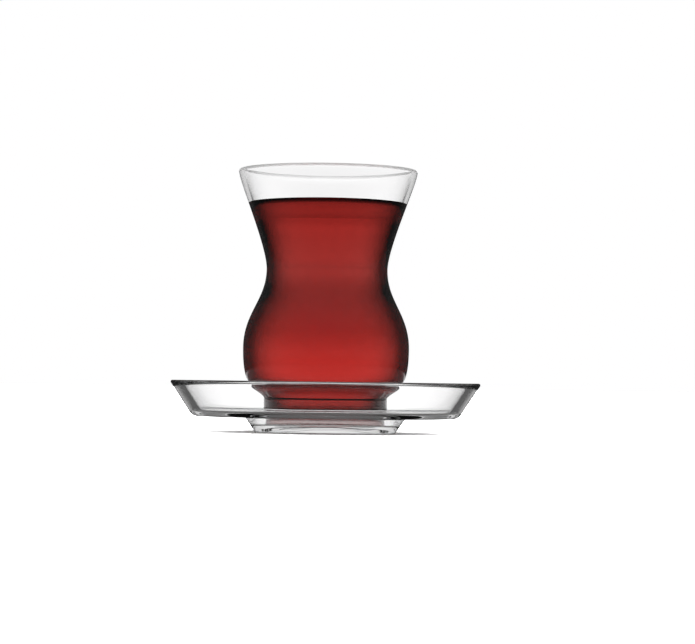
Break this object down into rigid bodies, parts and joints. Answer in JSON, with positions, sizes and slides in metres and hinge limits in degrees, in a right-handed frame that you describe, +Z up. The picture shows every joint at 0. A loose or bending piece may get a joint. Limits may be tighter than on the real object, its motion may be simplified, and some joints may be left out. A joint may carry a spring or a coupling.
{
  "type": "turkish tea glass",
  "caption": "Waisted clear tea glass filled with dark red tea, standing in the well of a round pressed-glass saucer with a raised slanted rim.",
  "frame": {"origin": "on the table under the middle of the saucer's foot, which is the centre of the part's underside", "axes": "+Z up, along the common axis of glass, tea and saucer; X and Y are alike"},
  "size_m": [0.1066, 0.1066, 0.0907],
  "materials": {
    "drinking_glass": "clear, thin and smooth, with a rounded rim",
    "black_tea": "clear liquid, dark red, nearly black at the edges",
    "pressed_glass": "clear pressed glass, smooth"
  },
  "bodies": {
    "root": {"glass": "drinking_glass", "tea": "black_tea", "saucer": "pressed_glass"}
  },
  "joints": []
}
